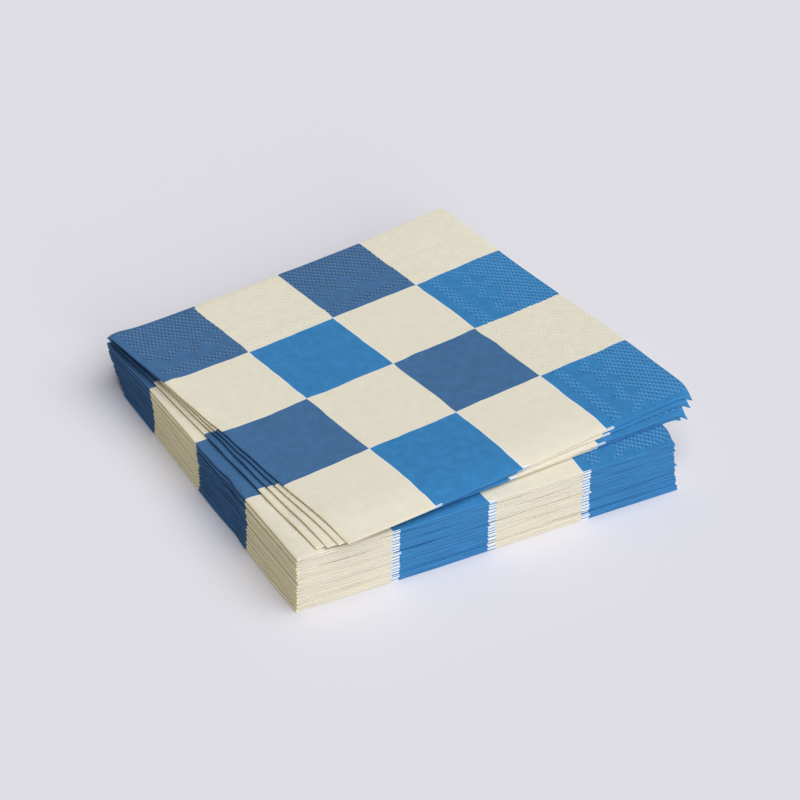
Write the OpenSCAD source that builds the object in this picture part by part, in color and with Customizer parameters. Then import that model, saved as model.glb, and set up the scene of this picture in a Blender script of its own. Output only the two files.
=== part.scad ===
// A stack of paper napkins: most lie squared up, and the last few are twisted into a fan on top.
// Each napkin is a square sheet of tissue with a printed chequer, folded in half and in half again.
// The first fold makes two noses along the front (-Y). The second closes the left side (-X).
// The cut edges lie at the back and on the right. The folds are springy, so a napkin is thicker
// at the front than at the back, and the stack slopes. The origin is the middle of its foot.

/* [Napkin] */
// Side of the folded napkin, half the side of the open sheet
napkin_side = 165; // [100:1:240]
// Thickness of one layer of the sheet, all its plies together
sheet_t = 0.3; // [0.2:0.01:0.5]
// Air between two layers at the front, where the first fold springs open
front_gap = 0.1; // [0.05:0.01:0.2]
// Air between two layers at the back, where the cut edges lie flat
back_gap = 0.02; // [0.01:0.01:0.04]

/* [Stack] */
// Napkins that lie squared up
squared_count = 16; // [1:1:30]
// Air between a napkin and the one it lies on
rest_gap = 0.01; // [0.01:0.01:0.1]

/* [Fan] */
// Turn of each fanned napkin about its middle, from the lowest up
fan_turns = [3.6, 4.5, 6.4, 7.9]; // [0:0.1:12]
// How far the fan's middle lies to the right of the stack's
fan_right = 5.3; // [-10:0.1:10]
// How far it lies to the back
fan_back = 6; // [-10:0.1:10]

/* [Print] */
// Checks along each side of the folded napkin
checks = 4; // [1:1:8]
// How far the print of the lower fold lies to the right of the upper fold's
print_slip = 3.3; // [0.1:0.1:8]
// How far each printed check reaches under its neighbours
print_lap = 0.05; // [0.01:0.01:0.2]
// Bare field
cream = "#E3DDC8";
// Check in the row along the cut edge at the back, and in every second row from it
dark_blue = "#406898";
// Check in the rows between
light_blue = "#3882BC";

/* [Hidden] */
fanned_count = len(fan_turns);
count = squared_count + fanned_count;
half_side = napkin_side / 2;
check_side = napkin_side / checks;
front_t = 4 * sheet_t + 3 * front_gap; // all four layers
back_t = 4 * sheet_t + 3 * back_gap;
taper = atan((front_t - back_t) / 2 / napkin_side); // of each face against the middle plane
past = 1; // how far a cut runs past the faces that it opens
nose_ratio = 1.05; // radius of a fold's nose against half of what it holds: it is pressed a little flat
round_fn = 48;

// Lays along X, from one x to the other, an outline whose own x is Y
module along_x(from, to) {
  translate([from, 0, 0])
    rotate([90, 0, 90])
      linear_extrude(to - from)
        children();
}

// A napkin's wedge seen from the right, about its middle plane. It is 2 * front thick at the
// front edge and 2 * back at the back edge, and is drawn from one y to the other
module wedge_outline(front, back, from, to) {
  slope = (front - back) / napkin_side;
  z0 = front - slope * (from + half_side);
  z1 = front - slope * (to + half_side);
  polygon([[from, -z0], [to, -z1], [to, z1], [from, z0]]);
}

// The wedge laid along X, with a round nose that starts at the given inset from the left side.
// It runs past the front, the back and the right by the given length
module nosed_wedge(front, back, inset, past = 0) {
  nose = front * nose_ratio;
  nose_x = -half_side + inset + nose;
  intersection() {
    along_x(-half_side - past, half_side + past)
      wedge_outline(front, back, -half_side - past, half_side + past);
    union() {
      translate([nose_x, -half_side - 2 * past, 0])
        rotate([-90, 0, 0])
          cylinder(h = napkin_side + 4 * past, r = nose, $fn = round_fn);
      translate([nose_x, -half_side - 2 * past, -front_t])
        cube([napkin_side + 2 * past, napkin_side + 4 * past, 2 * front_t]);
    }
  }
}

// The first fold: each pair of layers ends in a nose of its own at the front
module first_fold_outline() {
  nose = (sheet_t + front_gap / 2) * nose_ratio;
  for (side = [-1, 1])
    translate([-half_side + nose, side * (sheet_t + front_gap)])
      circle(nose, $fn = round_fn);
  translate([-half_side + nose, -front_t])
    square([napkin_side - nose, 2 * front_t]);
}

// Air between the outer and the inner layers. It bends round the second fold on the left, and
// the first fold closes it at the front
module wrapped_air() {
  intersection() {
    difference() {
      nosed_wedge(front_t / 2 - sheet_t, back_t / 2 - sheet_t, sheet_t, past);
      nosed_wedge(sheet_t + front_gap / 2, sheet_t + back_gap / 2, sheet_t + front_gap, 2 * past);
    }
    translate([-half_side, -half_side + sheet_t, -front_t])
      cube([napkin_side + 2 * past, napkin_side, 2 * front_t]);
  }
}

// Air between the two inner layers, which the second fold closes on the left
module middle_air() {
  along_x(-half_side + 2 * sheet_t + front_gap, half_side + past)
    wedge_outline(front_gap / 2, back_gap / 2, -half_side - past, half_side + past);
}

// One napkin, folded twice, about its middle plane
module folded_sheet() {
  difference() {
    intersection() {
      nosed_wedge(front_t / 2, back_t / 2, 0, past);
      along_x(-half_side - past, half_side) first_fold_outline();
    }
    wrapped_air();
    middle_air();
  }
}

// Where a line between two columns of checks lies. The outermost lines are past the sides
function column_line(line, slip) =
  line == 0 ? -half_side - past :
  line == checks ? half_side + past :
  -half_side + line * check_side + slip;

// What is printed in a check: 0 is bare, 1 the dark blue and 2 the light blue
function ink(column, row) = (column + row) % 2 == 1 ? 0 : row % 2 == 0 ? 1 : 2;

// Blocks over the checks of one ink, in the upper two layers (side 1) or the lower two (side -1)
module check_blocks(which, side) {
  for (column = [0 : checks - 1], row = [0 : checks - 1])
    if (ink(column, row) == which) {
      left = column_line(column, -side * print_slip / 2) - print_lap;
      right = column_line(column + 1, -side * print_slip / 2) + print_lap;
      front = half_side - (row + 1) * check_side - print_lap;
      translate([left, front, side > 0 ? -print_lap : -front_t])
        cube([right - left, check_side + 2 * print_lap, front_t + print_lap]);
    }
}

// The part of the napkin that has one ink
module inked(which) {
  intersection() {
    folded_sheet();
    for (side = [-1, 1])
      check_blocks(which, side);
  }
}

module printed_napkin() {
  color(cream) inked(0);
  color(dark_blue) inked(1);
  color(light_blue) inked(2);
}

// Tips its children about the front edge by the taper of one face
module tipped() {
  translate([0, -half_side, 0])
    rotate([-taper, 0, 0])
      translate([0, half_side, 0])
        children();
}

// Twists a napkin against the one below it, by its place in the stack
module twisted(place) {
  fanned = place - squared_count;
  if (fanned < 1)
    children();
  else if (fanned == 1)
    translate([fan_right, fan_back, 0])
      rotate([0, 0, fan_turns[0]])
        children();
  else
    rotate([0, 0, fan_turns[fanned - 1] - fan_turns[fanned - 2]])
      children();
}

// Climbs from the foot to the napkin in the given place. Each napkin lies on the sloping upper
// face of the one below
module napkin(place, at = 1) {
  if (at == place)
    tipped()
      translate([0, 0, front_t / 2])
        printed_napkin();
  else
    tipped()
      translate([0, 0, front_t + rest_gap])
        tipped()
          twisted(at + 1)
            napkin(place, at + 1);
}

for (place = [1 : count])
  napkin(place);
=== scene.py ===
"""A stack of paper napkins: sixteen lie squared up, and the last four are twisted into a fan on top.

Each napkin is one sheet of tissue, folded in half towards the front and in half again towards the left.
It is one closed mesh that follows the sheet through both folds. Lengths are in millimetres until a mesh
is made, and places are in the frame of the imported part.
"""
import math

import bpy
import numpy as np
from mathutils import Matrix, Vector

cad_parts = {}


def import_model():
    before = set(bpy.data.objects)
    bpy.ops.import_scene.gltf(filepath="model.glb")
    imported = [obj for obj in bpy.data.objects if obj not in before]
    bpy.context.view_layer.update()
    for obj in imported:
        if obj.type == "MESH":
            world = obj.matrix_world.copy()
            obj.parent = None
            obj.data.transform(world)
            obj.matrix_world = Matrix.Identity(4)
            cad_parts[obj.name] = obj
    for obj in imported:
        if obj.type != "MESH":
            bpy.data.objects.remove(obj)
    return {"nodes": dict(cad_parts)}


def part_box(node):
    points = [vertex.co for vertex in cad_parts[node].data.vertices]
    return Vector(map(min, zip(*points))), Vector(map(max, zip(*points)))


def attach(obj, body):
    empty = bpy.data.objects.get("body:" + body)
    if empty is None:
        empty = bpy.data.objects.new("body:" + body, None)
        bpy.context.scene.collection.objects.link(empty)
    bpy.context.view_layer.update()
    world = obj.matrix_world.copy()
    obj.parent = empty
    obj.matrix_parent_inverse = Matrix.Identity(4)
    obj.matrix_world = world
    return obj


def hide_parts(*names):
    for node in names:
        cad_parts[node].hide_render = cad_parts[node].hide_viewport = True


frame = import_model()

MM = 0.001

# The stack, as the frame has it
NAMES = sorted(frame["nodes"])
FANNED = 4
SQUARED = len(NAMES) - FANNED
TOPMOST = len(NAMES) - 1
LOWEST = [Vector(corner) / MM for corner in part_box(NAMES[0])]
SIDE = round(LOWEST[1].x - LOWEST[0].x, 1)
HALF = SIDE / 2
CHECK = SIDE / 4
SLOT_FRONT = 1.506  # height that a squared napkin takes at its front, its springy folds included
SLOT_BACK = 1.2625  # the same at its back, where the cut edges lie flat

# Seeds of the random draws. All but the first are the lowest napkin's, and grow by one with each napkin
PILE_SEED = 11
FRAME_SEED = 100
SHEET_SEED = 500
DENT_SEED = 900

# One sheet of tissue and its folds
LAYER = 0.27  # thickness of one layer
AIR = 0.13  # between two layers at the front
FULL = 4 * LAYER + 3 * AIR  # the folded napkin as it is laid out, before it is pressed into its slot
PAIR_AT = LAYER + AIR  # height of a pair of layers over the napkin's middle
HALF_PAIR = (LAYER + AIR) / 2  # from the middle of a pair to the middle of its layers
NOSE = 0.8  # how far a fold stands out, against half of what it holds
FRONT_SQUARENESS = 0.6  # 1 for a round fold, less for one that is pressed square, more for a sharp one
LEFT_SQUARENESS = 1.1
FRONT_STEPS = 6  # faces round a fold at the front
LEFT_STEPS = 8  # faces round the fold on the left
NEAR_LINES = 9  # closer lines of the mesh beside that fold, and their spacing
NEAR_STEP = 1.3
LEAST_CELL = 0.4  # a line of the mesh that is nearer than this to the next is left out
SHARP_ANGLE = 55  # degrees between faces past which an edge is shown sharp
FLAT_TO = np.radians((91.0, 1.0))  # tilt and turn up to which a place is on the flat top
CUT_STEP = 0.4  # how far the inner layers' cut edges stand out past the outer ones on the right
CUT_WAVES = (0.25, 0.3)  # unevenness of the cut edges on the right and at the back
INNER_WAVES = (0.2, 0.3)  # how much more of it the inner layers have there
CUT_WAVELENGTH = 60.0
FOLD_WAVES = (0.12, 0.1)  # unevenness of the folds on the left and at the front
LEFT_WAVELENGTH = 40.0
FRONT_WAVELENGTH = 45.0

# Air over a napkin, as shares of its height
REST_AIR = 0.02
FRONT_AIR = 0.03  # along its front edge
GROOVE_AIR = 0.2  # the same over every third napkin
FRONT_AIR_REACH = 8.0
LEFT_AIR = (0.27, 0.07)  # along the left edge of a squared one, and how much that wanders
LEFT_AIR_REACH = 5.0
PUCKER_AIR = 0.2
GAP_WAVELENGTH = 30.0
BELOW = 0.005  # gap below a napkin, in millimetres

# How the squared napkins lie
EDGE_REACH = 20.0  # how far a pressed front edge reaches back
PILE_PRESS = 0.75  # how far the pile's front edge is pressed down, away from the near corner
PRESS_FROM = 90.0  # distance from the left side at which the press is whole
NEAR_RISE = 0.8  # how far the near corner, where both folds meet, stands up
NEAR_REACH = 35.0
LEFT_PUFF = 0.6  # how much the folds on the left add to the height
PUFF_REACH = 14.0
REAR_SAG = 1.8  # how far the pile sags at its rear left corner
SAG_REACH = 42.0
UNEVEN = 0.03  # share by which a napkin's thickness wanders, and that much more by the edges
UNEVEN_REACH = 25.0
UNEVEN_WAVELENGTH = 55.0
PUCKER = 0.15  # the same share where the folds on the left are puckered
PUCKER_REACH = (16.0, 24.0)  # from the left side, and each way along it
PUCKER_WAVELENGTH = 14.0
KNOCKED = 14.0  # how far the lowest napkin's rear left corner is pushed in
KNOCKED_HEIGHT = 4.5  # height over which that fades
KNOCKED_REACH = 45.0
LEAN = 2.4  # how far the highest napkins lean out at that corner
LEAN_REACH = 60.0
FLARE = 0.8  # how far the lowest napkin stands out along its sides
FLARE_HEIGHT = 3.0
FLARE_FROM = 20.0  # distance from the near corner at which the flare is whole
TUCK = 2.0  # how far the right front corner of the highest ones is tucked in
TUCK_REACH = 10.0
DENT = 1.3  # depth of the dent in the left side
DENT_AT = (-25.0, -3.0)  # where it is along that side: deepest near the first end
DENT_MIDDLE = sum(DENT_AT) / 2
DENT_REACH = 30.0  # how far it reaches into the napkin
DENT_END = 8.0  # length over which it ends, past its deepest place
DENT_SLIP = 0.35  # how much further forward each lower napkin is dented
DENT_SLIP_ERROR = 0.8  # how much that varies
DENT_SHARES = (0.75, 0.2)  # usual share of the depth, and how much it varies
SQUARING = (0.12, 0.04)  # errors of a hand-squared stack, in millimetres and in degrees

# How the fanned ones lie
FAN_PRESS = 0.43  # how much thinner a fanned napkin is along its own front edge
FAN_NUDGE = [(-1.6, 0.5), (0.5, -0.4), (1.3, 0.5), (1.9, 0.2)]  # from the frame's place
FAN_RISE = 0.5  # opening below each one along the right side
RISE_HELD = 60.0  # distance from the front over which half of that opening is held down
ROLL = 0.4  # share of its height that each one loses as it rolls into its left fold
ROLL_REACH = 5.0
BACK_LIFT = [0.0, 0.4, 0.6, 0.8]  # further opening below each one at the rear right corner
LIFT_REACH = 55.0
CURL = 4.2  # how far the overhanging right front corner curls down
CURL_FROM = 110.2  # distance from the middle, along the diagonal, at which the curl starts
CURL_LENGTH = 6.0
CURL_LIMIT = 1.2  # the curl goes no further than this share of that length
OVERHANG = 8.0  # distance past the pile at which the curl is whole
GAPE = [0.4, 0.15, 0.1, 0.05]  # opening below the left edge of each one
GAPE_REACH = 10.0
GAPE_ENDS = (25.0, 50.0)  # lengths at the front and the rear over which it halves
GAPE_WAVE = 0.4  # how much it wanders, and how much shorter that wave is than the other gaps' waves
GAPE_SHORTER = 1.6
PUCKER_GAPE = 0.8  # how many times more there is at the dent
PUCKER_GAPE_REACH = 26.0
SHORT_BACK = 1.7  # how far the top napkin's rear edge falls short of the rear left corner's line
SHORT_FROM = 45.0  # distance from the left side at which it is that short

# Print and embossing
PRINT_SLIP = 3.3  # from the upper fold's print to the lower fold's
TOP_PRINT_BACK = 0.65  # how far the top napkin's print lies to the back
PRINT_BACK = (0.5, 1.5)  # the same for the lowest napkin, and how much it grows up to the top
PRINT_ERRORS = (0.12, 0.06)  # how much a napkin's print wanders from that, to the back and across
DOT = 1.1  # the dots' places are whole steps of this from both cut edges, on every third diagonal
DIAGONALS = 3.0  # steps from one diagonal row of dots to the next
DOT_DEPTH = 0.3  # in millimetres
DOT_RADII = (0.65, 0.1)  # a dot starts at the first and is whole at the second
DOT_MIDDLE = 0.6  # level of the embossed surface that stays at the napkin's own height
TOP_BUMP = 0.8  # strength of the bump where the dots are modelled too
CUT_MARGIN = 0.8  # plain strip along the cut edges
PLAIN_RIM = 2.6  # the folded edges have no dots
PATTERN = 11.0  # spacing of the embossed diamonds along the edge
DENSE_TO = 15.7  # the dots lie close together from the edge to here
DIAMOND_AT = 20.3
DIAMOND_HALF = (4.15, 3.5)
VEE_TO = 28.9  # tip of the chevron under each diamond
BAND = (33.0, 37.8)  # the last band of dots
BACK_PHASE = 0.5  # place of the first diamond along the back, from the left side
RIGHT_PHASE = 9.0  # the same along the right side, from the back
REFINE = 5  # fine cells along each coarse one where the dots are modelled

# How strongly the parts of the printed tissue show
SWAY = 2.6  # how far the print's lines wander in long waves, in millimetres
SWAY_PER_MM = 0.045
RAG = 0.25  # the same over single fibres
RAGS_PER_MM = 1.1
CLOUD = (0.25, 5.0, 0.65)  # noise of the clouds: scale for each millimetre, detail and roughness
FIBRE = (3.2, 3.0, 0.7)  # the same of the fibres
MOTTLING = (0.6, 0.3)  # of the clouds and of the fibres
MOTTLING_MIDDLE = 0.45
FLAT_LOSS = 8.0  # mottling and grain fade on a fold, this many times as fast as it turns
CREAM_CALM = 0.7  # share of its mottling that cream doesn't show
# painted highlights and shade: strength of the streaks along the folds
STREAK_DEPTH = 1.4
WHITE_LINE = (0.36, 0.06)  # distances from a line between checks at which its white starts and is whole
WHITE_LINE_SHARES = (0.1, 0.6)  # strength of that white, and how much more of it beside light blue
CREASED = 0.05  # a fold starts at this crease
CREST = (0.9, 0.75)  # crease at which the inked crest of a fold ends, and at which its flank is whole
SLIP_WHITE = 0.9  # strength of the white between the two folds' column lines
GLINT_PAINTED_PALER = 0.1  # painted highlight: blue made paler at the raised spots between the dots
FRONT_PAINTED_PALER = 0.016  # painted light: blue on the folds at the front made paler, as that side faces the light
FRONT_PAINTED_GAIN = (0.07, 0.08)  # painted light: how much brighter those folds are made, and how much more so in blue
LIGHT_BLUE_PAINTED_HIGHLIGHT = 0.1  # painted highlight: the light blue is made a little paler where it is embossed, for the light that its relief catches
DOT_TONE_AND_SHADE = (0.6, 0.5, 0.15)  # strength of the dots' darkening, partly the pressed plies' own tone and partly painted shade in the pits: in dark blue, and how much less in cream and in light blue
CREAM_RELIEF = 0.85  # share of its relief that cream doesn't show
GRAIN = (0.1, 0.03)  # height of the clouds and of the fibres, in millimetres

# Shares of the light on a level surface, the key has the rest. Places are degrees to the right of
# the front and above the floor
SKY = 0.14
FILL = 0.11
KEY_AT = (33.5, 65.3)
KEY_WIDTH = 68.6
FILL_AT = (-5, 22)
FILL_WIDTH = 30
WHITE = (1.0, 1.0, 1.0)  # colour of the lamps and of the sky

# The camera, as the perspective of the photograph gives it
CAMERA_AIM = (4.8, -0.2, 15.0)
CAMERA_AT = (-29.13, 35.88)  # degrees to the right of the front and above the floor
CAMERA_ROLL = 1.46
CAMERA_DISTANCE = 1234.0
CAMERA_LENS = 140.5
CAMERA_SENSOR = 36.0
CAMERA_SEES_TO = 100.0  # metres

FLOOR_REACH = 10.0  # from the middle to each side of the floor, in metres


def srgb(red, green, blue):
    """Linear colour of an 8-bit one."""
    linear = []
    for channel in (red, green, blue):
        value = channel / 255
        linear.append(value / 12.92 if value <= 0.04045 else ((value + 0.055) / 1.055) ** 2.4)
    return (*linear, 1.0)


CREAM = srgb(224, 218, 200)
DARK_BLUE = srgb(63, 105, 149)
LIGHT_BLUE = srgb(50, 124, 180)
PAPER = srgb(240, 240, 240)
PAPER_SHADE = srgb(226, 223, 212)  # darker fibres of the unprinted face and the cut edges
WHITE_EDGE = srgb(236, 243, 250)
CREAM_FOLD_PAINTED_GLOW = srgb(248, 236, 194)  # painted light: warmer cream on the shaded folds on the left, for the light that passes through and bounces between neighbouring sheets
# painted highlights and shade: scale of the streaks along the folds, for each metre
STREAKS_PER_METRE = (60.0, 60.0, 1300.0)
DOT_TONE_AND_SHADE_BLUE = srgb(24, 62, 108)  # colour at the bottom of a dot, in blue and on the next line in cream: the pressed plies' darker tone with painted shade in the pit
DOT_TONE_AND_SHADE_CREAM = srgb(208, 200, 176)
FLOOR = srgb(222, 221, 228)


def fading(distance, reach):
    """1 at an edge, and smoothly down to 0 at the given distance from it."""
    left = np.clip(1 - distance / reach, 0, 1)
    return left * left * (3 - 2 * left)


def drooping(distance, reach):
    """1 at an edge, and down to 0 at the given distance from it, steepest at the edge."""
    return np.clip(1 - distance / reach, 0, 1) ** 2.5


def wandering(rng, wavelength, waves=6):
    """A function of x and y that wanders smoothly between about -1 and 1."""
    angles = rng.uniform(0, 2 * np.pi, waves)
    numbers = 2 * np.pi / (wavelength * rng.uniform(0.7, 1.5, waves))
    phases = rng.uniform(0, 2 * np.pi, waves)

    def value(x, y):
        total = 0.0
        for angle, number, phase in zip(angles, numbers, phases):
            total = total + np.sin(number * (x * np.cos(angle) + y * np.sin(angle)) + phase)
        return total / math.sqrt(waves)

    return value


class Pile:
    """Heights of everything that lies in the stack, as functions of the place on the floor."""

    def __init__(self):
        rng = np.random.default_rng(PILE_SEED)
        self.shares = [wandering(rng, UNEVEN_WAVELENGTH) for _ in range(SQUARED)]
        self.puckers = [wandering(rng, PUCKER_WAVELENGTH) for _ in range(SQUARED)]
        self.gaps = [wandering(rng, GAP_WAVELENGTH) for _ in NAMES]
        self.frames = [turned_frame(place) for place in range(len(NAMES))]

    def top(self, x, y):
        """What the fan lies on: the top of the squared napkins, as if it didn't sag."""
        share = (y + HALF) / SIDE
        height = SQUARED * (SLOT_FRONT + (SLOT_BACK - SLOT_FRONT) * share)
        near = np.hypot(x + HALF, y + HALF)
        press = PILE_PRESS * (1 - fading(np.maximum(x + HALF, 0), PRESS_FROM))
        height = height - press * drooping(y + HALF, EDGE_REACH) + NEAR_RISE * fading(near, NEAR_REACH)
        puff = LEFT_PUFF * fading(np.maximum(x + HALF, 0), PUFF_REACH)
        return height + puff * (1 - self.puckered(x, y))

    def sag(self, x, y):
        """How far the squared napkins lie below that."""
        return REAR_SAG * fading(np.hypot(x + HALF, y - HALF), SAG_REACH)

    def squared_weight(self, place, x, y):
        """Thickness of a squared napkin against the others at the same place."""
        edge = np.maximum(fading(np.abs(HALF + x), UNEVEN_REACH), fading(np.abs(HALF + y), UNEVEN_REACH))
        edge = np.maximum(edge, fading(np.abs(HALF - x), UNEVEN_REACH))
        wander = (UNEVEN + UNEVEN * edge) * self.shares[place](x, y)
        return 1 + wander + PUCKER * self.puckered(x, y) * self.puckers[place](x, y)

    def puckered(self, x, y):
        """1 in the middle of the stretch of the left side where the folds are puckered."""
        inward, sideways = PUCKER_REACH
        return fading(np.abs(HALF + x), inward) * fading(np.abs(y - DENT_MIDDLE), sideways)

    def fan_slot(self, place, x, y):
        """Height that a fanned napkin takes up."""
        _, back = local(self.frames[place], x, y)
        share = (back + HALF) / SIDE
        height = SLOT_FRONT + (SLOT_BACK - SLOT_FRONT) * share
        return height - FAN_PRESS * drooping(back + HALF, EDGE_REACH)

    def opening(self, rank, x, y):
        """Air below a fanned napkin, where it hangs past the pile or lifts."""
        place = SQUARED + rank
        along, back = local(self.frames[place], x, y)
        rise = FAN_RISE * np.clip((along + CHECK) / (SIDE - CHECK), 0, 1)
        from_front = np.maximum(back + HALF, 0)
        from_back = np.maximum(HALF - back, 0)
        rise = rise * (1 - fading(from_front, RISE_HELD) / 2)
        corner = np.hypot(HALF - along, HALF - back)
        air = rise + BACK_LIFT[rank] * fading(corner, LIFT_REACH)
        ends = (fading(from_front, GAPE_ENDS[0]) + fading(from_back, GAPE_ENDS[1])) / 2
        left = fading(np.abs(along + HALF), GAPE_REACH) * (1 - ends)
        at_dent = fading(np.abs(back - DENT_MIDDLE), PUCKER_GAPE_REACH)
        wave = 1 + GAPE_WAVE * self.gaps[place](GAPE_SHORTER * x, GAPE_SHORTER * y)
        air = air + left * GAPE[rank] * (1 + PUCKER_GAPE * at_dent) * np.clip(wave, 0, 2)
        air = air + self.sag(x, y) / FANNED
        if rank == 0:
            outward = (x - y) / math.sqrt(2)
            folded = np.clip((outward - CURL_FROM) / CURL_LENGTH, 0, CURL_LIMIT) ** 2
            air = air - CURL * folded * fading(np.maximum(HALF + OVERHANG - x, 0), OVERHANG)
        return air

    def bounds(self, place, x, y):
        """Bottom and top of a napkin's slot."""
        if place < SQUARED:
            weights = [self.squared_weight(i, x, y) for i in range(SQUARED)]
            scale = (self.top(x, y) - self.sag(x, y)) / sum(weights)
            low = scale * sum(weights[:place]) if place else np.zeros_like(x)
            return low, low + scale * weights[place]
        low = self.top(x, y) - self.sag(x, y)
        for other in range(SQUARED, place + 1):
            low = low + self.opening(other - SQUARED, x, y)
            high = low + self.fan_slot(other, x, y)
            if other < place:
                low = high
        return low, high

    def sheet_bounds(self, place, x, y):
        """Bottom and top of the napkin itself, which leaves a little air over it along its edges."""
        low, high = self.bounds(place, x, y)
        left = fading(np.abs(HALF + x), LEFT_AIR_REACH)
        front = fading(np.abs(HALF + y), FRONT_AIR_REACH)
        wander = self.gaps[place](x, y)
        grooved = GROOVE_AIR if place % 3 == 2 else FRONT_AIR
        air = REST_AIR + front * grooved * np.clip(0.7 + wander, 0, 2)
        if place < SQUARED:
            air = np.maximum(air, left * (LEFT_AIR[0] + LEFT_AIR[1] * wander))
            air = air + PUCKER_AIR * self.puckered(x, y) * np.clip(self.puckers[place](y, x), 0, 1)
        else:
            along, _ = local(self.frames[place], x, y)
            air = air + ROLL * fading(np.abs(along + HALF), ROLL_REACH)
        return low + BELOW, high - air * (high - low)


def turned_frame(place):
    """Middle and turn of a napkin, from the frame, with the small errors of a hand-squared stack."""
    rng = np.random.default_rng(FRAME_SEED + place)
    low, high = [Vector(corner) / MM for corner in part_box(NAMES[place])]
    middle = (low + high) / 2
    ratio = min((high.x - low.x) / SIDE / math.sqrt(2), 1)
    turn = max(math.degrees(math.asin(ratio)) - 45, 0)
    if place < SQUARED:
        dx, dy = rng.normal(0, SQUARING[0], 2)
        return dx, dy, math.radians(rng.normal(0, SQUARING[1]))
    dx, dy = FAN_NUDGE[place - SQUARED]
    return middle.x + dx, middle.y + dy, math.radians(turn)


def local(place_frame, x, y):
    """Coordinates in a napkin's own frame."""
    mx, my, turn = place_frame
    dx, dy = x - mx, y - my
    return dx * math.cos(turn) + dy * math.sin(turn), -dx * math.sin(turn) + dy * math.cos(turn)


def world(place_frame, x, y):
    """Coordinates on the floor."""
    mx, my, turn = place_frame
    return mx + x * math.cos(turn) - y * math.sin(turn), my + x * math.sin(turn) + y * math.cos(turn)


def across_path(cells):
    """The way across the sheet: from the right end of the upper pair, round the left fold, to the
    right end of the lower pair. For each line: its x before the fold's arc moves it, and its tilt."""
    fold_x = -HALF + NOSE * FULL / 2
    flat = np.linspace(HALF, -HALF, cells + 1)[:-1]
    near_fold = fold_x + np.arange(NEAR_LINES, 0, -1) * NEAR_STEP
    flat = np.concatenate([flat[flat > near_fold[0] + LEAST_CELL], near_fold, [fold_x]])
    turns = np.linspace(90, 270, LEFT_STEPS + 1)[1:-1]
    x = np.concatenate([flat, np.full(len(turns), fold_x), flat[::-1]])
    tilt = np.radians(np.concatenate([np.full(len(flat), 90.0), turns, np.full(len(flat), 270.0)]))
    return x, tilt


def down_path(outer_cells, inner_cells):
    """The way along the sheet: from the rear cut edge of the outer layer, round the front fold, to
    the rear cut edge of the inner layer. For each line: y and the turn of the fold."""
    fold_y = -HALF + NOSE * (HALF_PAIR + LAYER / 2)
    outer = np.linspace(HALF, -HALF, outer_cells + 1)[:-1]
    outer = np.append(outer[outer > fold_y + LEAST_CELL], fold_y)
    inner = np.linspace(HALF, -HALF, inner_cells + 1)[:-1]
    inner = np.append(inner[inner > fold_y + LEAST_CELL], fold_y)
    turns = np.linspace(0, 180, FRONT_STEPS + 1)[1:-1]
    y = np.concatenate([outer, np.full(len(turns), fold_y), inner[::-1]])
    turn = np.radians(np.concatenate([np.zeros(len(outer)), turns, np.full(len(inner), 180.0)]))
    return y, turn


def embossed(along, back):
    """Where the embossing has dots: along and back are a place on the napkin's top."""
    from_right = HALF - along
    from_back = HALF - back
    edge = np.minimum(from_right, from_back)
    phase = np.where(from_back < from_right, along + HALF - BACK_PHASE, from_back - RIGHT_PHASE)
    off = PATTERN / 2 - np.abs(np.mod(phase, PATTERN) - PATTERN / 2)
    diamond = off / DIAMOND_HALF[0] + np.abs(edge - DIAMOND_AT) / DIAMOND_HALF[1] < 1
    chevrons = (edge < VEE_TO - off) & ~diamond
    band = (edge > BAND[0]) & (edge < BAND[1])
    rim = np.minimum(along, back) + HALF > PLAIN_RIM
    return rim & (edge > CUT_MARGIN) & ((edge < DENSE_TO) | chevrons | band)


def pillowed(along, back):
    """How deep the embossed surface is pressed: 1 in the middle of a dot, and 0 halfway between dots.
    The dots of a diagonal row are one step apart both ways."""
    i = (HALF - along) / DOT
    j = (HALF - back) / DOT
    rows = np.cos(2 * np.pi * (i + j) / DIAGONALS)
    places = np.cos(2 * np.pi * (2 * i - j) / DIAGONALS)
    return (0.5 + 0.25 * (rows + places)) ** 1.5


def faces_of_side(used, index, cells, refine, flip):
    """Faces over one side of the sheet. Cells that are refined give small quads, and the ones next
    to them take in the extra points on the shared edge."""
    faces = []
    rows, columns = cells.shape
    for i in range(rows):
        for j in range(columns):
            i0, j0 = i * refine, j * refine
            if cells[i, j]:
                block = index[i0:i0 + refine + 1, j0:j0 + refine + 1]
                quads = np.stack([block[:-1, :-1], block[1:, :-1], block[1:, 1:], block[:-1, 1:]], -1)
                faces.extend(quads.reshape(-1, 4).tolist())
                continue
            steps = range(refine)
            loop = [(i0 + s, j0) for s in steps] + [(i0 + refine, j0 + s) for s in steps]
            loop += [(i0 + refine - s, j0 + refine) for s in steps] + [(i0, j0 + refine - s) for s in steps]
            faces.append([int(index[p]) for p in loop if used[p]])
    if flip:
        faces = [face[::-1] for face in faces]
    return faces


def edge_loop(used, index, shape):
    """Points round the sheet's cut edges, one list for each coarse cell, in the order of the face."""
    rows, columns = shape
    top_i, top_j = used.shape[0] - 1, used.shape[1] - 1
    step_i, step_j = top_i // rows, top_j // columns
    sides = [[(i, 0) for i in range(top_i + 1)], [(top_i, j) for j in range(top_j + 1)]]
    sides += [[(i, top_j) for i in range(top_i, -1, -1)], [(0, j) for j in range(top_j, -1, -1)]]
    spans = []
    for side, step in zip(sides, (step_i, step_j, step_i, step_j)):
        for start in range(0, len(side) - 1, step):
            spans.append([int(index[p]) for p in side[start:start + step + 1] if used[p]])
    return spans


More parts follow.
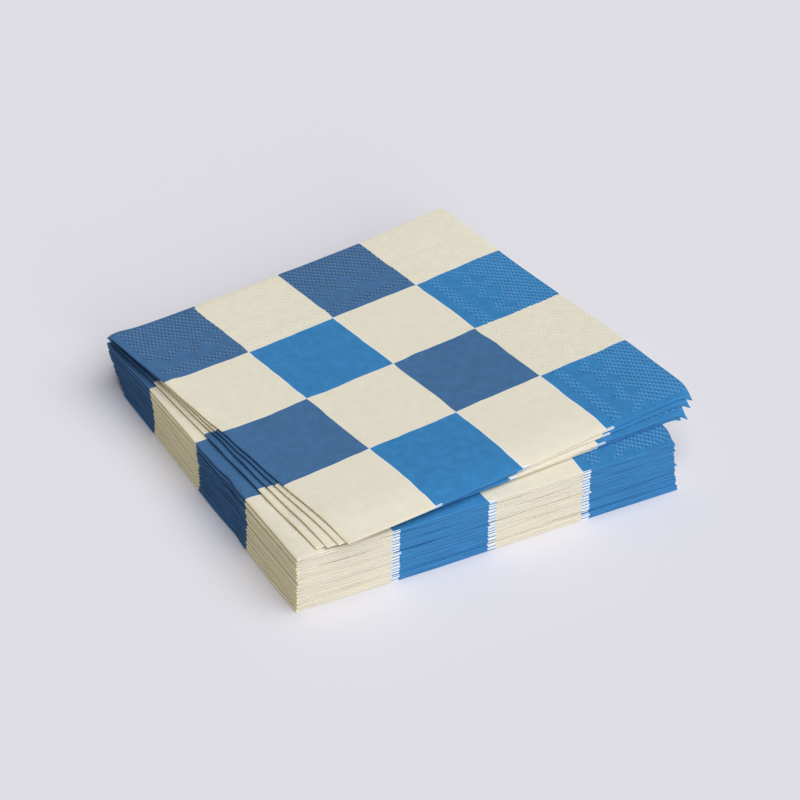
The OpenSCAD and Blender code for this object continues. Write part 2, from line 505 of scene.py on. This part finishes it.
def napkin_mesh(name, place, pile, across_cells, outer_cells, inner_cells, dotted):
    """One folded sheet as a closed mesh."""
    refine = REFINE if dotted else 1
    x_line, tilt = across_path(across_cells)
    y_line, turn = down_path(outer_cells, inner_cells)
    rows, columns = len(x_line) - 1, len(y_line) - 1
    cells = np.zeros((rows, columns), bool)
    if dotted:
        upper = np.arange(rows) < np.searchsorted(tilt, FLAT_TO[0]) - 1
        outer = np.arange(columns) < np.searchsorted(turn, FLAT_TO[1]) - 1
        edge = np.minimum.outer(HALF - x_line[:-1], HALF - y_line[:-1])
        cells = (edge < BAND[1]) & np.logical_and.outer(upper, outer)
    fine_i = np.arange(rows * refine + 1) / refine
    fine_j = np.arange(columns * refine + 1) / refine
    xs = np.interp(fine_i, np.arange(rows + 1), x_line)
    tilts = np.interp(fine_i, np.arange(rows + 1), tilt)
    ys = np.interp(fine_j, np.arange(columns + 1), y_line)
    turns = np.interp(fine_j, np.arange(columns + 1), turn)
    coarse = np.zeros((len(xs), len(ys)), bool)
    coarse[::refine, ::refine] = True
    used = coarse.copy()
    for i, j in zip(*np.nonzero(cells)):
        used[i * refine:(i + 1) * refine + 1, j * refine:(j + 1) * refine + 1] = True

    places, prints, layouts, creases, faces, sides = [], [], [], [], [], []
    count = 0
    maps = []
    for side, (mask, refined) in ((1, (used, cells)), (-1, (coarse, np.zeros_like(cells)))):
        index = np.full(mask.shape, -1)
        index[mask] = np.arange(count, count + mask.sum())
        count += int(mask.sum())
        i, j = np.nonzero(mask)
        points, printed, crease = sheet_points(place, pile, xs[i], tilts[i], ys[j], turns[j], side)
        if dotted and side == 1:
            flat_top = (tilts[i] < FLAT_TO[0]) & (turns[j] < FLAT_TO[1])
            raised = flat_top & embossed(xs[i], ys[j]) & (j > 0) & (i > 0)
            points[:, 2] += DOT_DEPTH * raised * (DOT_MIDDLE - pillowed(xs[i], ys[j]))
        places.append(points)
        prints.append(printed)
        bump = np.full(len(i), TOP_BUMP if dotted else 1.0)
        layouts.append(np.stack([xs[i], ys[j], bump], -1))
        creases.append(crease)
        here = faces_of_side(mask, index, refined, refine, side < 0)
        faces += here
        sides += [0 if side > 0 else 1] * len(here)
        maps.append(edge_loop(mask, index, cells.shape))
    for above, below in zip(*maps):
        faces.append([*above[::-1], below[0], below[-1]])
        sides.append(1)
    mesh = bpy.data.meshes.new(name)
    mesh.from_pydata((np.concatenate(places) * MM).tolist(), [], faces)
    mesh.polygons.foreach_set("material_index", sides)
    attributes = (("print", "FLOAT_VECTOR", "vector", prints), ("layout", "FLOAT_VECTOR", "vector", layouts),
                  ("crease", "FLOAT", "value", creases))
    for attribute, kind, field, values in attributes:
        data = mesh.attributes.new(attribute, kind, "POINT").data
        data.foreach_set(field, np.concatenate(values).astype(np.float32).ravel())
    mesh.shade_smooth()
    mesh.set_sharp_from_angle(angle=math.radians(SHARP_ANGLE))
    mesh.update()
    return mesh


def sheet_points(place, pile, x, tilt, y, turn, side):
    """Places of points on one side of the sheet, with where its print has them and how creased they are."""
    rng = np.random.default_rng(SHEET_SEED + place)
    left_wave = wandering(rng, LEFT_WAVELENGTH)
    front_waves = [wandering(rng, FRONT_WAVELENGTH) for _ in range(2)]
    cut_waves = [wandering(rng, CUT_WAVELENGTH) for _ in range(4)]
    upper = (1 + np.sin(tilt)) / 2
    outer = (1 + np.cos(turn)) / 2
    lifted = HALF_PAIR + side * LAYER / 2
    across = PAIR_AT + lifted * np.cos(turn)
    along = x - NOSE * across * np.clip(-np.cos(tilt), 0, 1) ** LEFT_SQUARENESS
    height = across * np.sin(tilt)
    back = y - NOSE * lifted * np.clip(np.sin(turn), 0, 1) ** FRONT_SQUARENESS
    to_right = (along + HALF) / SIDE
    to_back = (back + HALF) / SIDE
    front = front_waves[0](along, 0.0) * upper + front_waves[1](along, 40.0) * (1 - upper)
    cut_right = (cut_waves[0](0.0, back) * upper + cut_waves[1](0.0, back) * (1 - upper)) * CUT_WAVES[0]
    cut_right = cut_right + (1 - outer) * (INNER_WAVES[0] * cut_waves[2](20.0, back)) - outer * CUT_STEP
    cut_back = (cut_waves[2](along, 0.0) * upper + cut_waves[3](along, 0.0) * (1 - upper)) * CUT_WAVES[1]
    cut_back = cut_back + (1 - outer) * (INNER_WAVES[1] * cut_waves[0](along, 20.0))
    along_bent = along + FOLD_WAVES[0] * left_wave(0.0, back) * (1 - to_right) + cut_right * to_right
    back_bent = back + FOLD_WAVES[1] * front * (1 - to_back) + cut_back * to_back
    if place < SQUARED:
        height_here = (place + 0.5) * SLOT_BACK
        pushed = KNOCKED * math.exp(-height_here / KNOCKED_HEIGHT) * fading(along + HALF, KNOCKED_REACH)
        to_rear = np.clip((back - HALF + CHECK) / CHECK, 0, 1)
        back_bent = back_bent - pushed * to_rear ** 1.3
        highness = place / (SQUARED - 1)
        leaning = LEAN * highness ** 1.5 * np.clip((back + CHECK) / (HALF + CHECK), 0, 1)
        flaring = FLARE * math.exp(-height_here / FLARE_HEIGHT)
        near = 1 - fading(np.hypot(along + HALF, back + HALF), FLARE_FROM)
        along_bent = along_bent + dent(place, along, back) - leaning * fading(along + HALF, LEAN_REACH)
        along_bent = along_bent + flaring * (2 * to_right - 1) * near
        back_bent = back_bent - flaring * (1 - to_back) * near
        corner = np.hypot(HALF - along, back + HALF)
        along_bent = along_bent - TUCK * highness * fading(corner, TUCK_REACH)
    elif place == TOPMOST:
        back_bent = back_bent - SHORT_BACK * to_back ** 4 * (1 - fading(along + HALF, SHORT_FROM))
    wx, wy = world(pile.frames[place], along_bent, back_bent)
    low, high = pile.sheet_bounds(place, wx, wy)
    wz = low + (height / FULL + 0.5) * (high - low)
    row_shift = TOP_PRINT_BACK
    if place != TOPMOST:
        row_shift = PRINT_BACK[0] + PRINT_BACK[1] * place / TOPMOST + rng.normal(0, PRINT_ERRORS[0])
    column_shift = rng.normal(0, PRINT_ERRORS[1])
    layer_side = 2 * upper - 1
    printed = np.stack([along - column_shift + layer_side * PRINT_SLIP / 2, back - row_shift, layer_side], -1)
    crease = np.maximum(np.sin(turn), np.clip(-np.cos(tilt), 0, 1))
    return np.stack([wx, wy, wz], -1), printed, crease


def dent(place, along, back):
    """How far the left side is pushed in. Lower napkins are dented a little further forward."""
    rng = np.random.default_rng(DENT_SEED + place)
    slip = DENT_SLIP * (SQUARED - place) + rng.normal(0, DENT_SLIP_ERROR)
    start, end = DENT_AT
    rise = np.clip((end - slip - back) / (end - start), 0, 1) ** 1.4
    fall = fading(np.maximum(start - slip - back, 0), DENT_END)
    depth = DENT * (DENT_SHARES[0] + DENT_SHARES[1] * rng.normal())
    return depth * rise * fall * fading(along + HALF, DENT_REACH)


class Nodes:
    """Small helper that adds shader nodes and links them."""

    def __init__(self, material):
        material.use_nodes = True
        self.tree = material.node_tree
        self.tree.nodes.clear()

    def add(self, kind, inputs=(), **settings):
        node = self.tree.nodes.new(kind)
        for key, value in settings.items():
            setattr(node, key, value)
        for key, value in dict(inputs).items():
            if isinstance(value, bpy.types.NodeSocket):
                self.tree.links.new(value, node.inputs[key])
            else:
                node.inputs[key].default_value = value
        return node

    def math(self, operation, *values, clamp=False):
        return self.add("ShaderNodeMath", enumerate(values), operation=operation, use_clamp=clamp).outputs[0]

    def smooth(self, value, start, end):
        """0 before start, 1 past end."""
        inputs = {"Value": value, "From Min": start, "From Max": end}
        return self.add("ShaderNodeMapRange", inputs, interpolation_type="SMOOTHSTEP").outputs[0]

    def noise(self, vector, scale, detail=2.0, roughness=0.5):
        inputs = {"Vector": vector, "Scale": scale, "Detail": detail, "Roughness": roughness}
        return self.add("ShaderNodeTexNoise", inputs).outputs["Fac"]

    def mix(self, factor, first, second):
        node = self.add("ShaderNodeMix", data_type="RGBA")
        for socket, value in ((node.inputs[0], factor), (node.inputs[6], first), (node.inputs[7], second)):
            if isinstance(value, bpy.types.NodeSocket):
                self.tree.links.new(value, socket)
            else:
                socket.default_value = value
        return node.outputs[2]

    def product(self, first, second):
        """Product of two colours, or of a colour and a number."""
        return self.add("ShaderNodeVectorMath", {0: first, 1: second}, operation="MULTIPLY").outputs[0]

    def surface(self, inputs):
        """The material's shader, and its output."""
        shader = self.add("ShaderNodeBsdfPrincipled", inputs)
        self.add("ShaderNodeOutputMaterial", {"Surface": shader.outputs[0]})


def from_line(nodes, value):
    """Distance to the nearest of the three lines between checks."""
    nearest = nodes.math("ROUND", nodes.math("DIVIDE", value, CHECK))
    nearest = nodes.math("MINIMUM", nodes.math("MAXIMUM", nearest, -1.0), 1.0)
    return nodes.math("ABSOLUTE", nodes.math("SUBTRACT", value, nodes.math("MULTIPLY", nearest, CHECK)))


def checks(nodes, x, y):
    """Print of the chequer: its colour, 1 where it is bare, 1 in the rows of light blue, and the
    distance to a line between checks."""
    def lines_passed(value):
        whole = nodes.math("FLOOR", nodes.math("DIVIDE", value, CHECK))
        return nodes.math("MINIMUM", nodes.math("MAXIMUM", whole, -2.0), 1.0)

    column = nodes.math("ADD", lines_passed(x), 2.0)
    row = nodes.math("SUBTRACT", 1.0, lines_passed(y))
    bare = nodes.math("MODULO", nodes.math("ADD", column, row), 2.0)
    light = nodes.math("MODULO", row, 2.0)
    blue = nodes.mix(light, DARK_BLUE, LIGHT_BLUE)
    line = nodes.math("MINIMUM", from_line(nodes, x), from_line(nodes, y))
    return nodes.mix(bare, blue, CREAM), bare, light, line


def emboss_height(nodes, x, y):
    """Dots of the embossing, 1 at the middle of each, the raised places between them, which get a painted
    highlight, and the part of the napkin that has them."""
    from_right = nodes.math("SUBTRACT", HALF, x)
    from_back = nodes.math("SUBTRACT", HALF, y)
    edge = nodes.math("MINIMUM", from_right, from_back)
    at_back = nodes.math("LESS_THAN", from_back, from_right)
    back_phase = nodes.math("ADD", x, HALF - BACK_PHASE)
    right_phase = nodes.math("SUBTRACT", from_back, RIGHT_PHASE)
    chosen = nodes.math("MULTIPLY", nodes.math("SUBTRACT", back_phase, right_phase), at_back)
    phase = nodes.math("ADD", chosen, right_phase)
    off = nodes.math("PINGPONG", phase, PATTERN / 2)
    wide = nodes.math("DIVIDE", off, DIAMOND_HALF[0])
    tall = nodes.math("DIVIDE", nodes.math("SUBTRACT", edge, DIAMOND_AT), DIAMOND_HALF[1])
    tall = nodes.math("ABSOLUTE", tall)
    outside = nodes.math("GREATER_THAN", nodes.math("ADD", wide, tall), 1.0)
    chevron = nodes.math("LESS_THAN", nodes.math("ADD", edge, off), VEE_TO)
    chevron = nodes.math("MULTIPLY", chevron, outside)
    dense = nodes.math("LESS_THAN", edge, DENSE_TO)
    past_band_start = nodes.math("GREATER_THAN", edge, BAND[0])
    band = nodes.math("MULTIPLY", past_band_start, nodes.math("LESS_THAN", edge, BAND[1]))
    inside = nodes.math("MAXIMUM", nodes.math("MAXIMUM", dense, chevron), band)
    inside = nodes.math("MULTIPLY", inside, nodes.math("GREATER_THAN", edge, CUT_MARGIN))
    rim = nodes.math("GREATER_THAN", nodes.math("MINIMUM", x, y), PLAIN_RIM - HALF)
    inside = nodes.math("MULTIPLY", inside, rim)
    i = nodes.math("DIVIDE", from_right, DOT)
    j = nodes.math("DIVIDE", from_back, DOT)
    row = nodes.math("DIVIDE", nodes.math("ADD", i, j), DIAGONALS)
    step = nodes.math("SUBTRACT", i, row)

    def dots_at(shift):
        """Round dots on the lattice, moved by a share of its row spacing and of its step."""
        moved_row = nodes.math("ADD", row, shift)
        moved_step = nodes.math("ADD", step, shift)
        off_row = nodes.math("SUBTRACT", moved_row, nodes.math("ROUND", moved_row))
        off_step = nodes.math("SUBTRACT", moved_step, nodes.math("ROUND", moved_step))
        off_i = nodes.math("ADD", off_step, off_row)
        off_j = nodes.math("MULTIPLY_ADD", off_row, 2.0, nodes.math("MULTIPLY", off_step, -1.0))
        squares = nodes.math("MULTIPLY_ADD", off_i, off_i, nodes.math("MULTIPLY", off_j, off_j))
        distance = nodes.math("MULTIPLY", nodes.math("SQRT", squares), DOT)
        return nodes.math("MULTIPLY", nodes.smooth(distance, *DOT_RADII), inside)

    return dots_at(0.0), dots_at(0.5), inside


def slip_zone(nodes, across, side, bare, crease):
    """White strip of the front folds between the two folds' column lines. The inked fold there shows
    its colour only along its crest."""
    middle = nodes.math("MULTIPLY_ADD", side, -PRINT_SLIP / 2, across)
    inside = nodes.math("LESS_THAN", from_line(nodes, middle), PRINT_SLIP / 2)
    inside = nodes.math("MULTIPLY", inside, nodes.math("GREATER_THAN", crease, CREASED))
    flank = nodes.smooth(crease, *CREST)
    return nodes.math("MULTIPLY", inside, nodes.math("MAXIMUM", bare, flank))


def painted_streaks(nodes):
    """Painted highlights and shade: faint lighter and darker streaks that run along the folds, for the light
    on each crest.
    """
    place = nodes.add("ShaderNodeTexCoord").outputs["Object"]
    noise = nodes.noise(nodes.product(place, STREAKS_PER_METRE), 1.0, 3.0, 0.6)
    return nodes.math("MULTIPLY", nodes.math("SUBTRACT", noise, 0.5), STREAK_DEPTH)


def left_side(nodes, across):
    """1 at the fold on the left."""
    return nodes.math("LESS_THAN", across, 1.0 - HALF)


def printed_tissue():
    """Printed face of the tissue."""
    material = bpy.data.materials.new("printed_tissue")
    nodes = Nodes(material)
    shown = nodes.add("ShaderNodeAttribute", attribute_name="print").outputs["Vector"]
    layout = nodes.add("ShaderNodeAttribute", attribute_name="layout").outputs["Vector"]
    crease = nodes.add("ShaderNodeAttribute", attribute_name="crease").outputs["Fac"]
    parts = nodes.add("ShaderNodeSeparateXYZ", {0: shown}).outputs
    laid = nodes.add("ShaderNodeSeparateXYZ", {0: layout}).outputs
    dots, raised, dotted_part = emboss_height(nodes, laid[0], laid[1])
    waves = {"Vector": layout, "Scale": SWAY_PER_MM, "Detail": 2.0}
    sway = nodes.add("ShaderNodeTexNoise", waves).outputs["Color"]
    sway = nodes.add("ShaderNodeSeparateXYZ", {0: sway}).outputs
    rag = nodes.noise(shown, RAGS_PER_MM)

    def swayed(value, by):
        """A print coordinate, moved as the printed line wanders."""
        moved = nodes.math("MULTIPLY_ADD", nodes.math("SUBTRACT", by, 0.5), SWAY, value)
        return nodes.math("MULTIPLY_ADD", nodes.math("SUBTRACT", rag, 0.5), RAG, moved)

    across = swayed(parts[0], sway[0])
    ink, bare, light, line = checks(nodes, across, swayed(parts[1], sway[1]))
    gap_share = nodes.math("MULTIPLY_ADD", light, WHITE_LINE_SHARES[1], WHITE_LINE_SHARES[0])
    gap = nodes.math("MULTIPLY", nodes.smooth(line, *WHITE_LINE), gap_share)
    cloud = nodes.noise(shown, *CLOUD)
    fibre = nodes.noise(shown, *FIBRE)
    flatness = nodes.math("MULTIPLY_ADD", crease, -FLAT_LOSS, 1.0, clamp=True)
    clouds = nodes.math("MULTIPLY", cloud, MOTTLING[0])
    blotch = nodes.math("ADD", clouds, nodes.math("MULTIPLY", fibre, MOTTLING[1]))
    blotch = nodes.math("MULTIPLY", nodes.math("SUBTRACT", blotch, MOTTLING_MIDDLE), flatness)
    # painted highlights and shade along the folds' crests
    blotch = nodes.math("ADD", blotch, nodes.math("MULTIPLY", painted_streaks(nodes), crease))
    depth = nodes.math("MULTIPLY_ADD", bare, -CREAM_CALM, 1.0)
    tinted = nodes.product(ink, nodes.math("MULTIPLY_ADD", blotch, depth, 1.0))
    tinted = nodes.mix(nodes.math("MULTIPLY", gap, flatness), tinted, PAPER)
    on_left = nodes.math("MULTIPLY", crease, left_side(nodes, laid[0]))
    on_front = nodes.math("SUBTRACT", crease, on_left)
    blue_part = nodes.math("SUBTRACT", 1.0, bare)
    light_part = nodes.math("MULTIPLY", light, blue_part)
    # painted highlight at the raised spots between the dots
    painted_paler = nodes.math("MULTIPLY", raised, GLINT_PAINTED_PALER)
    # painted light: the front folds face the light, so they are made paler in blue and brighter
    painted_paler = nodes.math("MAXIMUM", nodes.math("MULTIPLY", on_front, FRONT_PAINTED_PALER), painted_paler)
    tinted = nodes.mix(nodes.math("MULTIPLY", painted_paler, blue_part), tinted, PAPER)
    front_painted_gain = nodes.math("MULTIPLY_ADD", blue_part, FRONT_PAINTED_GAIN[1], FRONT_PAINTED_GAIN[0])
    painted_gain = nodes.math("MULTIPLY_ADD", on_front, front_painted_gain, 1.0)
    # painted highlight on embossed light blue
    painted_gain = nodes.math("MULTIPLY_ADD", nodes.math("MULTIPLY", dotted_part, light_part), LIGHT_BLUE_PAINTED_HIGHLIGHT, painted_gain)
    tinted = nodes.product(tinted, painted_gain)
    white = slip_zone(nodes, across, parts[2], bare, crease)
    tinted = nodes.mix(nodes.math("MULTIPLY", white, SLIP_WHITE), tinted, WHITE_EDGE)
    # painted light: warm cream on the left folds, for light that reaches them through their neighbours
    tinted = nodes.mix(nodes.math("MULTIPLY", on_left, bare), tinted, CREAM_FOLD_PAINTED_GLOW)
    # the dots are darkened, partly for the pressed plies' own tone and partly as painted shade in their pits
    dot_tone_and_shade = nodes.mix(bare, DOT_TONE_AND_SHADE_BLUE, DOT_TONE_AND_SHADE_CREAM)
    dot_tone_and_shade_strength = nodes.math("MULTIPLY_ADD", bare, -DOT_TONE_AND_SHADE[1], DOT_TONE_AND_SHADE[0])
    dot_tone_and_shade_strength = nodes.math("MULTIPLY_ADD", light_part, -DOT_TONE_AND_SHADE[2], dot_tone_and_shade_strength)
    tinted = nodes.mix(nodes.math("MULTIPLY", dots, dot_tone_and_shade_strength), tinted, dot_tone_and_shade)
    grain = nodes.math("MULTIPLY_ADD", fibre, GRAIN[1], nodes.math("MULTIPLY", cloud, GRAIN[0]))
    grain = nodes.math("MULTIPLY", grain, flatness)
    relief = nodes.math("MULTIPLY", laid[2], nodes.math("MULTIPLY_ADD", bare, -CREAM_RELIEF, 1.0))
    pressed = nodes.math("MULTIPLY", dots, relief)
    grain = nodes.math("MULTIPLY_ADD", pressed, -DOT_DEPTH, grain)
    bump = nodes.add("ShaderNodeBump", {"Height": grain, "Strength": 1.0, "Distance": MM}).outputs[0]
    inputs = {"Base Color": tinted, "Roughness": 0.92, "Normal": bump, "Specular IOR Level": 0.25,
              "Sheen Weight": 0.04, "Sheen Roughness": 0.5}
    nodes.surface(inputs)
    return material


def bare_tissue():
    """Unprinted face and cut edges of the tissue."""
    material = bpy.data.materials.new("bare_tissue")
    nodes = Nodes(material)
    place = nodes.add("ShaderNodeTexCoord").outputs["Object"]
    fibre = nodes.noise(place, 2600.0, 3.0, 0.7)
    colour = nodes.mix(nodes.smooth(fibre, 0.2, 0.8), PAPER_SHADE, PAPER)
    bump = nodes.add("ShaderNodeBump", {"Height": fibre, "Strength": 1.0, "Distance": 0.05 * MM}).outputs[0]
    nodes.surface({"Base Color": colour, "Roughness": 0.95, "Normal": bump, "Specular IOR Level": 0.2})
    return material


def make_napkins():
    """All napkins, from the lowest up. The topmost one has its embossing modelled."""
    pile = Pile()
    printed = printed_tissue()
    inside = bare_tissue()
    for place, node in enumerate(NAMES):
        # cells across the sheet, and along its outer and its inner layer
        cells = (60, 60, 30) if place >= SQUARED else (30, 60, 30)
        mesh = napkin_mesh(f"tissue_{node}", place, pile, *cells, dotted=place == TOPMOST)
        mesh.materials.append(printed)
        mesh.materials.append(inside)
        napkin = bpy.data.objects.new(f"tissue_{node}", mesh)
        bpy.context.scene.collection.objects.link(napkin)
        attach(napkin, "root")
        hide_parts(node)


def make_floor():
    """The pale table top under the stack."""
    mesh = bpy.data.meshes.new("floor")
    signs = ((-1, -1), (1, -1), (1, 1), (-1, 1))
    corners = [(sx * FLOOR_REACH, sy * FLOOR_REACH, 0) for sx, sy in signs]
    mesh.from_pydata(corners, [], [(0, 1, 2, 3)])
    material = bpy.data.materials.new("floor")
    Nodes(material).surface({"Base Color": FLOOR, "Roughness": 1.0, "Specular IOR Level": 0.0})
    mesh.materials.append(material)
    floor = bpy.data.objects.new("floor", mesh)
    bpy.context.scene.collection.objects.link(floor)


def towards(at):
    """Direction from the stack to a place that is given in degrees to the right of the front and
    above the floor."""
    turn, climb = math.radians(at[0]), math.radians(at[1])
    return Vector((math.sin(turn) * math.cos(climb), -math.cos(turn) * math.cos(climb), math.sin(climb)))


def make_light():
    """A very wide key from high on the right, a low fill from the front, and a faint even sky."""
    scene = bpy.context.scene
    scene.view_settings.view_transform = "Standard"
    surroundings = bpy.data.worlds.new("sky")
    surroundings.use_nodes = True
    sky = surroundings.node_tree.nodes["Background"]
    sky.inputs["Color"].default_value = (*WHITE, 1.0)
    sky.inputs["Strength"].default_value = SKY
    scene.world = surroundings
    make_lamp("key", 1 - SKY - FILL, KEY_AT, KEY_WIDTH)
    make_lamp("fill", FILL, FILL_AT, FILL_WIDTH)


def make_lamp(name, share, at, width):
    """A distant lamp that gives a level surface the given share of its light."""
    lamp = bpy.data.objects.new(name, bpy.data.lights.new(name, "SUN"))
    lamp.data.energy = math.pi * share / math.sin(math.radians(at[1]))
    lamp.data.angle = math.radians(width)
    lamp.data.color = WHITE
    lamp.rotation_euler = towards(at).to_track_quat("Z", "Y").to_euler()
    bpy.context.scene.collection.objects.link(lamp)


def make_camera():
    """The camera of the photograph."""
    camera = bpy.data.objects.new("camera", bpy.data.cameras.new("camera"))
    camera.data.lens = CAMERA_LENS
    camera.data.sensor_width = CAMERA_SENSOR
    camera.data.clip_end = CAMERA_SEES_TO
    turn = math.radians(CAMERA_AT[0])
    roll = math.radians(CAMERA_ROLL)
    away = towards(CAMERA_AT)
    right = Vector((math.cos(turn), math.sin(turn), 0))
    up = away.cross(right)
    across = right * math.cos(roll) + up * math.sin(roll)
    upward = up * math.cos(roll) - right * math.sin(roll)
    axes = Matrix((across, upward, away)).transposed().to_4x4()
    eye = Vector(CAMERA_AIM) + away * CAMERA_DISTANCE
    camera.matrix_world = Matrix.Translation(eye * MM) @ axes
    bpy.context.scene.collection.objects.link(camera)
    bpy.context.scene.camera = camera


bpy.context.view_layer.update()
make_camera()
make_napkins()
make_floor()
make_light()
